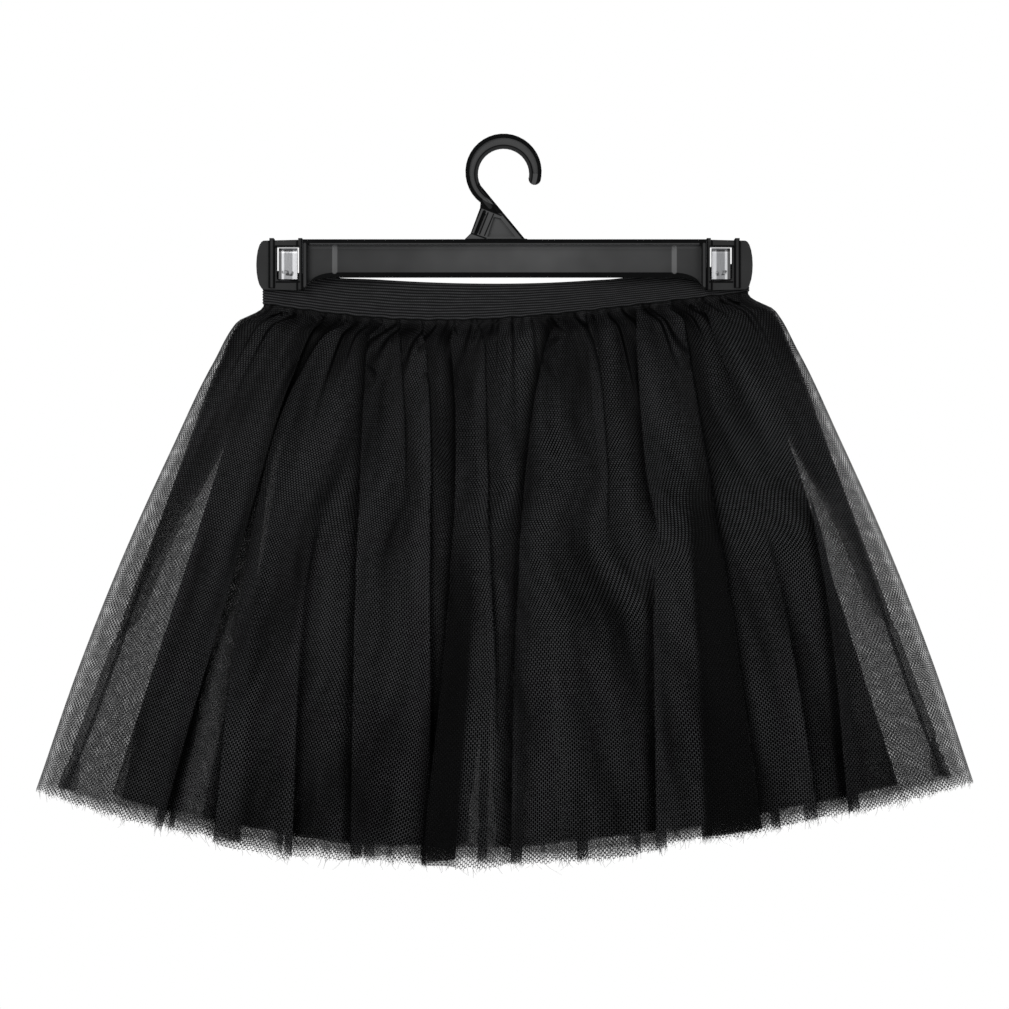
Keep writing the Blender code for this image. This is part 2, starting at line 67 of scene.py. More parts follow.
# Sections of the skirt from seam to hem.  spread: how far each line of cloth has moved from its
# place at the waist to its place at the hem.  outer, middle and inner: half depth of each tube.
# fold: share of the folds' full height.  flat: power of the section's curve, high where the tube
# is a flat slot with tight ends.
SECTION_COLUMNS = ("drop", "spread", "outer", "middle", "inner", "fold", "flat")
SECTIONS = (
    (0.000, 0.000, 6.4, 4.8, 3.2, 0.00, 30.0),
    (0.035, 0.083, 10.8, 7.4, 4.4, 0.14, 16.0),
    (0.130, 0.210, 18.2, 12.4, 7.2, 0.30, 8.0),
    (0.300, 0.390, 28.6, 19.5, 11.0, 0.52, 4.5),
    (0.500, 0.590, 39.2, 27.0, 15.5, 0.72, 3.2),
    (0.750, 0.810, 50.4, 35.5, 20.5, 0.90, 2.6),
    (1.000, 1.000, 60.0, 43.0, 26.0, 1.00, 2.2),
)

# Layers: half widths of the tube at seam and hem, the cut length from seam to hem at the middle and
# how much shorter it is at the sides, and bow, at the seam and at the hem: 1 where its side edges
# bow out as the sections' spread says, 0 where they run straight.
LAYER_COLUMNS = ("waist_half", "hem_half", "length", "side_less", "bow", "bow_low")
LAYERS = {
    "tulle_outer": (151.5, 288.0, 338.5, 10.0, 1.0, 1.0),
    "tulle_middle": (149.9, 272.0, 332.0, 11.0, 1.25, -0.15),
    "tulle_inner": (148.3, 241.0, 324.5, 9.0, -0.45, -0.1),
}

# Folds of a layer's half, left to right.  seam, high, low and hem: the fold's middle across the
# skirt at FOLD_DROPS.  side: +1 where the panel on its left lies over the one on its right.
# over_top, over_mid and over_hem: width of the overlap.  soft: half width of its turns.  height:
# lift of each panel at the hem.  start and stop: drops between which it shows.  hem_low: how much
# lower the panel on its right hangs.
FOLD_DROPS = (0.0, 0.2, 0.55, 1.0)
OVER_DROPS = (0.08, 0.5, 1.0)
FOLD_COLUMNS = (
    "seam", "high", "low", "hem", "side",
    "over_top", "over_mid", "over_hem", "soft", "height", "start", "stop", "hem_low",
)
OUTER_FRONT = (
    (-112.0, -141.0, -170.0, -210.0, 1, 8.0, 4.0, 7.0, 3.4, 7.0, 0.0, 1.1, -2.0),
    (-92.0, -134.0, -156.5, -168.0, -1, 4.0, 5.0, 14.0, 3.8, 7.0, 0.0, 1.1, 2.0),
    (-80.0, -100.0, -122.0, -131.0, 1, 0.0, 2.0, 4.0, 6.5, 5.0, 0.3, 1.1, 1.0),
    (-77.4, -82.9, -87.8, -89.6, -1, 10.0, 6.0, 5.0, 3.4, 7.0, 0.0, 1.1, -2.5),
    (-69.0, -64.0, -50.0, -30.0, 1, 6.0, 4.0, 0.0, 3.8, 4.0, 0.0, 0.40, 0.0),
    (-55.0, -48.6, -46.7, -41.5, 1, 6.0, 3.0, 1.0, 3.8, 4.0, 0.0, 0.9, 0.0),
    (-35.0, -26.0, -27.6, -39.8, -1, 7.0, 15.0, 20.0, 3.4, 8.0, 0.0, 1.1, 2.5),
    (-18.0, -15.0, -9.4, 1.0, 1, 8.0, 4.0, 1.0, 4.0, 4.0, 0.0, 0.85, -1.5),
    (38.6, 20.2, 10.2, 7.0, -1, 10.0, 6.5, 6.0, 3.4, 8.0, 0.0, 1.1, 1.5),
    (50.0, 57.0, 67.0, 78.0, 1, 6.0, 3.0, 0.0, 6.0, 3.0, 0.0, 0.5, 0.0),
    (84.9, 88.0, 96.5, 108.0, -1, 13.0, 8.0, 3.0, 3.4, 8.0, 0.0, 0.52, 0.0),
    (88.0, 89.5, 91.5, 94.7, -1, 0.0, 3.0, 7.0, 3.8, 7.0, 0.42, 1.1, -3.0),
    (103.0, 112.0, 125.0, 138.0, 1, 6.0, 20.0, 34.0, 3.4, 7.0, 0.0, 1.1, -2.5),
    (118.0, 142.0, 176.0, 220.0, -1, 6.0, 2.0, 0.0, 3.8, 4.0, 0.0, 0.3, 0.0),
    (120.0, 140.0, 166.0, 186.0, 1, 0.0, 2.0, 4.0, 6.5, 5.0, 0.4, 1.1, 1.0),
    (138.0, 168.0, 196.0, 212.0, -1, 4.0, 6.0, 10.0, 3.8, 6.0, 0.32, 1.1, 1.5),
)
OUTER_BACK = (
    (-128.0, -152.0, -182.0, -208.0, 1, 8.0, 5.0, 4.0, 3.8, 5.0, 0.0, 1.1, 1.5),
    (-98.0, -110.0, -128.0, -141.0, -1, 9.0, 5.0, 3.0, 3.8, 5.0, 0.0, 1.1, -1.0),
    (-66.0, -72.0, -78.0, -85.0, 1, 8.0, 6.0, 6.0, 3.8, 6.0, 0.0, 1.1, 1.5),
    (-40.0, -44.0, -48.0, -51.0, -1, 9.0, 4.0, 3.0, 3.8, 5.0, 0.0, 1.1, -2.0),
    (-6.0, -8.0, -11.0, -14.0, 1, 8.0, 6.0, 5.0, 3.8, 5.0, 0.0, 1.1, 1.0),
    (26.0, 33.0, 42.0, 49.0, -1, 9.0, 7.0, 6.0, 3.8, 6.0, 0.0, 1.1, 2.0),
    (52.0, 61.0, 73.0, 84.0, 1, 8.0, 5.0, 3.0, 3.8, 5.0, 0.0, 1.1, -2.0),
    (80.0, 92.0, 110.0, 127.0, -1, 9.0, 6.0, 6.0, 3.8, 6.0, 0.0, 1.1, 1.0),
    (106.0, 124.0, 148.0, 170.0, 1, 8.0, 5.0, 4.0, 3.8, 5.0, 0.0, 1.1, -1.5),
    (130.0, 155.0, 187.0, 216.0, -1, 8.0, 5.0, 3.0, 3.8, 5.0, 0.0, 1.1, 1.0),
)
MIDDLE_FRONT = (
    (-133.0, -171.0, -218.7, -270.4, 1, 32.0, 9.0, 3.5, 2.0, 5.0, 0.0, 1.1, 0.0),
    (-84.0, -98.0, -118.0, -136.0, 1, 8.0, 5.0, 3.0, 3.0, 4.0, 0.0, 1.1, 1.0),
    (-46.0, -52.0, -62.0, -70.0, -1, 8.0, 4.0, 3.0, 3.0, 4.0, 0.0, 1.1, -1.0),
    (48.0, 56.0, 68.0, 78.0, 1, 8.0, 5.0, 4.0, 3.0, 4.0, 0.0, 1.1, 1.0),
    (98.0, 116.0, 142.0, 166.0, -1, 8.0, 5.0, 4.0, 3.0, 4.0, 0.0, 1.1, -1.0),
    (133.0, 171.0, 218.7, 270.4, -1, 32.0, 9.0, 3.5, 2.0, 5.0, 0.0, 1.1, 0.0),
)
MIDDLE_BACK = (
    (-133.5, -171.5, -219.0, -270.6, -1, 30.0, 8.4, 3.0, 2.0, 5.0, 0.0, 1.1, 0.0),
    (-104.0, -122.0, -146.0, -167.0, 1, 8.0, 5.0, 3.0, 3.0, 4.0, 0.0, 1.1, 1.0),
    (-58.0, -66.0, -78.0, -88.0, -1, 8.0, 5.0, 3.0, 3.0, 4.0, 0.0, 1.1, -1.0),
    (12.0, 15.0, 20.0, 24.0, 1, 8.0, 4.0, 3.0, 3.0, 4.0, 0.0, 1.1, 1.0),
    (66.0, 78.0, 94.0, 108.0, -1, 8.0, 5.0, 4.0, 3.0, 4.0, 0.0, 1.1, -1.0),
    (112.0, 134.0, 165.0, 194.0, 1, 8.0, 5.0, 3.0, 3.0, 4.0, 0.0, 1.1, 1.0),
    (133.5, 171.5, 219.0, 270.6, 1, 30.0, 8.4, 3.0, 2.0, 5.0, 0.0, 1.1, 0.0),
)
INNER_FRONT = (
    (-119.1, -148.1, -186.0, -217.0, 1, 25.0, 31.5, 38.0, 2.5, 2.5, 0.0, 1.1, 1.0),
    (-101.4, -120.5, -137.0, -163.5, -1, 22.3, 33.0, 43.0, 2.5, 2.5, 0.0, 1.1, -1.0),
    (-73.0, -85.0, -106.0, -121.0, 1, 28.0, 38.0, 41.0, 2.5, 2.5, 0.0, 1.1, 1.0),
    (-43.0, -50.0, -64.0, -80.0, -1, 28.0, 38.0, 40.0, 2.5, 2.5, 0.0, 1.1, -1.0),
    (-15.0, -19.0, -33.0, -46.0, 1, 28.0, 38.0, 42.0, 2.5, 2.5, 0.0, 1.1, 1.0),
    (10.0, 9.0, 9.0, 13.5, -1, 27.0, 36.0, 41.0, 2.5, 2.5, 0.0, 1.1, -1.0),
    (36.0, 40.0, 46.0, 62.0, 1, 27.0, 36.0, 42.0, 2.5, 2.5, 0.0, 1.1, 1.0),
    (62.0, 71.0, 84.0, 103.0, -1, 27.0, 36.0, 41.0, 2.5, 2.5, 0.0, 1.1, -1.0),
    (89.4, 102.5, 122.0, 144.0, 1, 27.0, 36.0, 41.0, 2.5, 2.5, 0.0, 1.1, 1.0),
    (114.4, 131.2, 159.4, 186.0, -1, 27.0, 36.0, 41.0, 2.5, 2.5, 0.0, 1.1, -1.0),
    (136.6, 156.8, 190.4, 224.0, 1, 21.0, 28.0, 36.0, 2.5, 2.5, 0.0, 1.1, 1.0),
)
INNER_BACK = (
    (-124.0, -146.0, -186.0, -218.0, 1, 26.0, 33.0, 38.0, 2.5, 2.5, 0.0, 1.1, -1.0),
    (-100.0, -121.0, -137.5, -165.0, -1, 22.0, 30.0, 32.0, 2.5, 2.5, 0.0, 1.1, 1.0),
    (-84.0, -98.0, -118.0, -140.0, 1, 27.0, 36.0, 44.0, 2.5, 2.5, 0.0, 1.1, -1.0),
    (-58.0, -68.0, -84.0, -98.0, -1, 27.0, 36.0, 42.0, 2.5, 2.5, 0.0, 1.1, 1.0),
    (-30.0, -36.0, -47.0, -58.0, 1, 27.0, 36.0, 40.0, 2.5, 2.5, 0.0, 1.1, -1.0),
    (-4.0, -6.0, -18.0, -32.0, -1, 27.0, 28.0, 18.0, 2.5, 2.5, 0.0, 1.1, 1.0),
    (23.0, 25.0, 28.0, 36.0, 1, 27.0, 36.0, 40.0, 2.5, 2.5, 0.0, 1.1, -1.0),
    (49.0, 56.0, 64.0, 80.0, -1, 27.0, 36.0, 46.0, 2.5, 2.5, 0.0, 1.1, 1.0),
    (74.0, 88.0, 104.0, 124.0, 1, 27.0, 36.0, 44.0, 2.5, 2.5, 0.0, 1.1, -1.0),
    (101.0, 117.0, 139.0, 164.0, -1, 27.0, 36.0, 42.0, 2.5, 2.5, 0.0, 1.1, 1.0),
    (124.0, 144.0, 176.0, 205.0, 1, 25.0, 34.0, 42.0, 2.5, 2.5, 0.0, 1.1, -1.0),
)
FOLDS = {
    "tulle_outer": (OUTER_FRONT, OUTER_BACK),
    "tulle_middle": (MIDDLE_FRONT, MIDDLE_BACK),
    "tulle_inner": (INNER_FRONT, INNER_BACK),
}
# The net is sewn behind the band's lower edge, which is thin there.  How far each layer stands off
# the band's face, how far the net goes up behind it, and the share of the drop where it stays flat
# behind the band and then leaves it.
SEAM_STEP = {"tulle_outer": -0.85, "tulle_middle": -1.2, "tulle_inner": -1.55}
SEAM_TUCK = 2.2
SEAM_FREE = 0.009
SEAM_LEAVE = 0.036
BAND_SKIN = 0.5
BAND_LIP = 0.15

# How folds start, stop and turn.  rise and fade: drops over which a fold grows and goes, for one
# that starts at the seam or ends at the hem and for the others.
FOLD_RISE = {"seam": 0.06, "lower": 0.20}
FOLD_FADE = {"hem": 0.1, "upper": 0.22}
FOLD_SEAM_SOFT = 0.55
FOLD_LEAST = 0.06
FULL_OVERLAP = 4.0
END_FADE = 2.5
SIDE_TURN = {"from": 0.93, "reach": 0.06}
LEAN_LIMIT = 0.9

# Small gathers along the seam: each quality is mean + swing * sin(step * number + slip * phase).
GATHER_COUNT = 44
GATHER_QUALITIES = {
    "place": (0.5, 0.3, 2.7, 1.0),
    "height": (1.5, 0.7, 4.1, 2.0),
    "fade": (0.16, 0.12, 1.9, 3.0),
}
GATHER_SPAN = 0.96
GATHER_HALF = 0.0075
GATHER_GROOVE = 0.005
GATHER_GROW = 0.02

# The net's press and painted shade, from 0 to 1: press and painted shade in folds and gathers for
# each mm of height, and painted shadow on the lower panel beside a fold, under wide overlaps, at
# the side edges and under the band.
FOLD_PRESS_AND_SHADE = 0.06
GATHER_PRESS_AND_SHADE = 0.5
FOLD_SHADOW = 0.10
SHADOW_REACH = 6.0
OVERLAP_SHADOW = {"depth": 0.16, "from": 12.0, "reach": 6.0, "edge": 2.0}
EDGE_SHADOW = {"depth": 0.5, "from": 0.99, "reach": 0.006}
SEAM_SHADOW = {"depth": 0.45, "drop": 0.35}

# The hem: its tilt, its ragged edge (height, waves and the drop where it starts), and the drop below
# which the second ply of net thins out.  The second ply is also thin within SINGLE_EDGE of the sides.
HEM_TILT = 0.06
HEM_RAGGED = {"height": 0.9, "short": 2.1, "middle": 7.7, "long": 17.0, "share": 0.6, "from": 0.95}
HEM_SINGLE = 0.98
SINGLE_EDGE = 5.5
HEM_THREADS = {"tulle_outer": 1100, "tulle_middle": 600, "tulle_inner": 400}
THREAD = {"radius": 0.13, "length": 1.2, "more": 5.0, "power": 5, "lean": 0.45}

# The net's cells repeat every PITCH.  Plies of net: turn and shift of the pattern in radians; cut,
# the sum of waves under which there is thread; share, the threads' share of the area; crisp, how
# clear its threads are.
PITCH = 2.6
PLY_COLUMNS = ("pitch", "turn", "shift", "cut", "share", "crisp")
OUTER_PLIES = (
    (PITCH, 0.085, 0.0, -0.79, 0.37, 1.0),
    (PITCH * 1.07, -0.06, 1.3, -0.62, 0.49, 0.35),
)
MIDDLE_PLIES = ((PITCH * 0.96, 0.09, 0.6, -0.96, 0.27, 0.3),)
INNER_PLIES = ((PITCH * 1.03, -0.03, 0.0, -0.7, 0.45, 0.15),)
NET_BLACK = 0.0005
BUNCHED = {"drop": 120.0, "cut": 0.45, "share": 0.22}
# Painted highlight on the net's knots: the waves' level where it starts, its reach, and its share of the
# light.
KNOT = {"from": 0.8, "reach": 0.7, "light": 0.85}
# How far the net's painted shade darkens its colour, and how far its press closes its holes.
PAINTED_SHADE_DARK = 0.92
PRESSED_CLOSED = 0.55
THIN_PLY = 0.5
THREAD_SLOPE = 5.0
# Clouds of light on the net: sizes along and down, for each mm, and strength.
CLOUDS = (((1.0 / 26.0, 1.0 / 120.0, 1.0), 3.6), ((1.0 / 9.0, 1.0 / 2.2, 1.0), 1.6))
CLOUD_LEAST = 0.2
# Drift of the net's grain, as sine waves: swings along and down, mm for a radian along and down,
# and shift.
GRAIN_DRIFTS = (
    (0.0, 4.0, 37.0, 900.0, 0.0),
    (0.0, 5.0, 83.0, 900.0, 0.0),
    (0.0, 1.1, 31.0, 19.0, 0.0),
    (0.0, 0.8, -23.0, 13.0, 2.0),
    (0.8, 0.0, 17.0, -29.0, 1.0),
)

# Meshes of the net tubes: rows from seam to hem, closer near the seam, columns on each half, and
# points of the path that they are taken from.
NET_ROWS = 74
ROW_SPACING = 0.44
NET_COLUMNS = {"tulle_outer": 660, "tulle_middle": 440, "tulle_inner": 320}
PATH_POINTS = 4001

# Marks on the hanger in the front view.  Rings: centre and radius, half width and depth of black.
# Lines: start, end and half width.  Painted glints are lines that also have a shine: painted
# highlights along edges and steps.
HOOK_OUTER = ((-0.6, -14.4), 23.4)
HOOK_INNER = ((-0.6, -15.7), 15.7)
HOOK_RINGS = (
    (HOOK_OUTER, 2.4, 1.0),
    (HOOK_INNER, 2.4, 0.7),
    ((HOOK_INNER[0], HOOK_INNER[1] + 1.9), 0.4, 0.9),
)
HOOK_LINES = (
    ((-14.9, -22.6), (12.6, -55.4), 1.5),
    ((-18.6, -29.4), (-13.2, -36.0), 1.2),
    ((-14.6, -36.2), (-2.0, -41.2), 0.45),
    ((-14.9, -36.6), (-21.1, -52.2), 1.0),
    ((-12.4, -39.0), (-17.7, -52.3), 1.1),
    ((-10.1, -39.6), (-15.3, -52.6), 0.45),
    ((-6.7, -40.4), (-12.2, -53.4), 0.4),
    ((-21.1, -51.9), (-11.4, -55.2), 0.45),
)
HOOK_PAINTED_GLINTS = (((-12.4, -31.8), (-8.8, -35.8), 1.2, 0.35),)
JAW_LINES = (
    ((141.5, 55.5), (141.5, 85.0), 0.7),
    ((144.3, 56.5), (144.3, 85.0), 0.7),
    ((124.2, 54.0), (124.2, 86.5), 0.7),
    ((127.2, 57.0), (127.2, 86.3), 0.7),
    ((126.5, 60.0), (141.5, 60.0), 0.7),
    ((126.0, 81.8), (140.0, 81.8), 0.6),
)
BAR_PAINTED_GLINTS = (
    ((-104.2, -60.5), (-104.2, -75.5), 1.5, 1.15),
    ((-122.4, -58.8), (-122.4, -84.5), 0.8, 0.45),
    ((104.2, -60.5), (104.2, -75.5), 1.5, 1.15),
    ((122.4, -58.8), (122.4, -84.5), 0.8, 0.45),
    ((-119.0, -58.7), (119.0, -58.7), 0.5, 0.55),
    ((-119.0, -60.0), (119.0, -60.0), 1.3, 0.3),
)
MARK_SLOPE = 2.5
STRIPE = {"centre": 132.8, "half": 2.6, "slope": 1.6}
# Painted shade along the spring's outer edge, and the place of its foot's tarnish.
SPRING_EDGE_SHADE = ((138.6, 60.0), (138.6, 82.0), 1.7)
SPRING_FOOT = ((131.0, 76.5), (135.5, 76.0), 1.6)

# The studio, in metres: lamps (place, size and watts), the floor, and the camera in front.
LAMPS = {
    "key_box": ((-1.1, -1.9, 0.9), 1.3, 34.0),
    "fill_box": ((1.5, -1.7, 0.2), 1.3, 16.0),
}
LAMP_AIM = (0.0, 0.0, -0.22)
FLOOR = {"radius": 1.2, "height": -0.80, "corners": 96}
CAMERA = {"distance": 3.0, "height": -0.2184, "view_width": 0.6192, "sensor": 36.0}


def column(table, names, name):
    return np.array([row[names.index(name)] for row in table], dtype=float)


class Wire:
    """A value in a material's nodes.  Adding, multiplying and the like add Math nodes."""

    def __init__(self, tree, socket=None):
        self.tree = tree
        self.socket = socket

    def node(self, kind, settings=(), values=(), out=0):
        """Adds a node: its settings, then a value or a wire for each of its named sockets."""
        node = self.tree.nodes.new(kind)
        for name, value in dict(settings).items():
            setattr(node, name, value)
        for name, value in dict(values).items():
            entry = node.inputs[name]
            if isinstance(value, Wire):
                self.tree.links.new(value.socket, entry)
            else:
                entry.default_value = value
        return Wire(self.tree, node.outputs[out])

    def maths(self, operation, *values, clamp=False):
        settings = {"operation": operation, "use_clamp": clamp}
        return self.node("ShaderNodeMath", settings, dict(enumerate(values)))

    def vector(self, operation, *values, out=0, **named):
        values = dict(enumerate(values)) | named
        return self.node("ShaderNodeVectorMath", {"operation": operation}, values, out)

    def part(self, vector, axis):
        """The X, Y or Z of a vector."""
        return self.node("ShaderNodeSeparateXYZ", (), {"Vector": vector}, axis)

    def within(self, value, edge, slope):
        """1 where a value is under an edge, 0 over it, and a slope between."""
        return self.maths("MULTIPLY_ADD", value, -slope, edge * slope + 0.5, clamp=True)

    def __add__(self, other):
        return self.maths("ADD", self, other)

    def __sub__(self, other):
        return self.maths("SUBTRACT", self, other)

    def __rsub__(self, other):
        return self.maths("SUBTRACT", other, self)

    def __mul__(self, other):
        return self.maths("MULTIPLY", self, other)

    __radd__ = __add__
    __rmul__ = __mul__


def new_material(name, constants):
    """A material with numbers and colours set on its shader's own sockets, and a way to add wires."""
    material = bpy.data.materials.new(name)
    material.use_nodes = True
    shader = material.node_tree.nodes["Principled BSDF"]
    for socket, value in constants.items():
        shader.inputs[socket].default_value = value
    return material, Wire(material.node_tree), shader


def join(wires, value, shader, socket):
    wires.tree.links.new(value.socket, shader.inputs[socket])


def bumped(wires, shader, height, depth, strength=1.0):
    """Wires a height between 0 and 1 into a bump of some mm."""
    values = {"Height": height, "Distance": depth * MM, "Strength": strength}
    join(wires, wires.node("ShaderNodeBump", (), values, "Normal"), shader, "Normal")


def coloured(wires, shader, factor, first, second):
    """Wires a blend of two colours into the base colour."""
    colours = {"Factor": factor, 6: (*first, 1.0), 7: (*second, 1.0)}
    blend = wires.node("ShaderNodeMix", {"data_type": "RGBA"}, colours, 2)
    join(wires, blend, shader, "Base Color")


def noise_of(wires, place, scale, detail=2.0):
    values = {"Vector": place, "Scale": scale, "Detail": detail}
    return wires.node("ShaderNodeTexNoise", (), values, 0)


def attribute_of(wires, name):
    return wires.node("ShaderNodeAttribute", {"attribute_name": name}, (), "Fac")


def net_waves(wires, cloth, pitch, turn, shift):
    """A sum of three cosine waves: a hill in each hole of the net, a valley along each thread.
    The holes stand in columns half a pitch apart, every other column half a pitch lower."""
    step = math.tau / pitch
    total = None
    for number, (x, y) in enumerate(((1.0, 1.0), (1.0, -1.0), (2.0, 0.0))):
        way = (
            step * (x * math.cos(turn) - y * math.sin(turn)),
            step * (x * math.sin(turn) + y * math.cos(turn)),
            0.0,
        )
        along = wires.vector("DOT_PRODUCT", cloth, way, out="Value")
        wave = wires.maths("COSINE", along + shift * (number + 1) if shift else along)
        total = wave if total is None else total + wave
    return total


def net_glow(wires, cloth, waves, threads, pressed_and_shaded):
    """Painted light on round threads: a painted highlight most at the knots, in soft clouds of painted
    light, and least under the net's painted shade.
    """
    start, reach = KNOT["from"], KNOT["reach"]
    knots = wires.maths("MULTIPLY_ADD", waves, -1.0 / reach, -start / reach, clamp=True)
    glow = threads * (knots * KNOT["light"] + (1.0 - KNOT["light"])) * (1.0 - pressed_and_shaded * PAINTED_SHADE_DARK)
    for size, swing in CLOUDS:
        cloud = noise_of(wires, wires.vector("MULTIPLY", cloth, size), 1.0)
        glow = glow * wires.maths("MAXIMUM", cloud * swing + (1.0 - 0.5 * swing), CLOUD_LEAST)
    return glow


def net_material(name, plies, lit):
    """Black net of one or two plies, whose first one catches the light.

    A ply that isn't crisp lets light through its threads too, as much less as its holes let through
    less, so that its mean stays the same.  Near the seam the plies are bunched.  The second ply is
    thin where the attribute single is 1 and is gone where it is 2."""
    material, wires, shader = new_material(name, {"Roughness": 0.5, "Specular IOR Level": 0.04})
    cloth = wires.node("ShaderNodeUVMap", {"uv_map": "cloth"})
    down = wires.part(cloth, "Y")
    bunched = wires.maths("MULTIPLY_ADD", down, -1.0 / BUNCHED["drop"], 1.0, clamp=True)
    bunched = bunched * bunched * BUNCHED["cut"]
    pressed_and_shaded = attribute_of(wires, "pressed_and_shaded")
    clear = None
    for row in plies:
        ply = dict(zip(PLY_COLUMNS, row))
        waves = net_waves(wires, cloth, ply["pitch"], ply["turn"], ply["shift"])
        threads = wires.within(waves, bunched + ply["cut"], THREAD_SLOPE)
        if clear is None:
            glow = net_glow(wires, cloth, waves, threads, pressed_and_shaded)
            black, pale = (NET_BLACK, NET_BLACK, NET_BLACK * 1.05), (lit, lit, lit * 1.04)
            coloured(wires, shader, glow, black, pale)
        if ply["crisp"] < 1.0:
            mean = bunched * BUNCHED["share"] + ply["share"]
            threads = threads * ply["crisp"] + mean * (1.0 - ply["crisp"])
        if clear is None:
            clear = 1.0 - threads
        else:
            threads = threads * (1.0 - attribute_of(wires, "single") * THIN_PLY)
            clear = clear * (1.0 - threads)
    join(wires, 1.0 - clear * (1.0 - pressed_and_shaded * PRESSED_CLOSED), shader, "Alpha")
    return material


def through(x, knots, values):
    """A curve through values at knots: cubic pieces whose slopes are the neighbours' mean."""
    knots, values = np.asarray(knots, dtype=float), np.asarray(values, dtype=float)
    slope = np.gradient(values, knots)
    i = np.clip(np.searchsorted(knots, x) - 1, 0, len(knots) - 2)
    step = knots[i + 1] - knots[i]
    t = (x - knots[i]) / step
    start = (1.0 + 2.0 * t) * (1.0 - t) ** 2 * values[i] + t * (1.0 - t) ** 2 * step * slope[i]
    return start + t**2 * (3.0 - 2.0 * t) * values[i + 1] - t**2 * (1.0 - t) * step * slope[i + 1]


def section_at(drop, name):
    """A column of SECTIONS at any drop."""
    drops = column(SECTIONS, SECTION_COLUMNS, "drop")
    return through(drop, drops, column(SECTIONS, SECTION_COLUMNS, name))


def smooth(x):
    """0 below 0, 1 above 1, and an S curve between."""
    x = np.clip(x, 0.0, 1.0)
    return x * x * (3.0 - 2.0 * x)


def hill(x):
    """1 at 0, falling away on both sides: exp(-x^2)."""
    return np.exp(-(x**2))


def fold_wave(q):
    """0 in a fold's middle, 1 and -1 at its two turns, fading beyond: q * exp((1 - q^2) / 2)."""
    return q * np.exp(0.5 * (1.0 - q * q))


def band_edge(x, edge):
    """An edge of the band: it sags between the clips, and skew sinks its left half and lifts its
    right."""
    t = np.clip((x - BAND_CENTRE + BAND_HALF) / (2.0 * BAND_HALF), 0.0, 1.0)
    sag = edge["sag"] * np.sin(np.pi * t) + edge["skew"] * np.sin(2.0 * np.pi * t)
    return edge["left"] + edge["rise"] * t - sag


def band_half_depth(x):
    """Half the band's depth: pinched flat at the clips, a little open in the middle."""
    reach = np.clip(np.abs(x - BAND_BULGE["centre"]) / BAND_BULGE["half_span"], 0.0, 1.0)
    return BAND_HALF_DEPTH + BAND_BULGE["height"] * np.cos(0.5 * np.pi * reach) ** 2


def base_depth(lean, half_depth, flat):
    """A tube's depth at a share of its half width, without folds."""
    return half_depth * np.sqrt(np.clip(1.0 - np.abs(lean) ** flat, 0.0, 1.0))


def fold_shows(fold, drop):
    """How far a fold shows at a drop, from 0 to 1."""
    rise = FOLD_RISE["lower" if fold["start"] else "seam"]
    fade = FOLD_FADE["upper" if fold["stop"] < 1.0 else "hem"]
    return smooth((drop - fold["start"]) / rise + 0.1) * smooth((fold["stop"] - drop) / fade)


def hem_ragged(place, facing, half_depth, drop):
    """Uneven ends of the net at the hem, as products and sums of sine waves."""
    ragged = np.sin(place / HEM_RAGGED["short"] + facing) * np.sin(place / HEM_RAGGED["middle"] + 1.0)
    ragged = ragged + HEM_RAGGED["share"] * np.sin(place / HEM_RAGGED["long"] + half_depth)
    start = HEM_RAGGED["from"]
    return HEM_RAGGED["height"] * ragged * smooth((drop - start) / (1.0 - start))


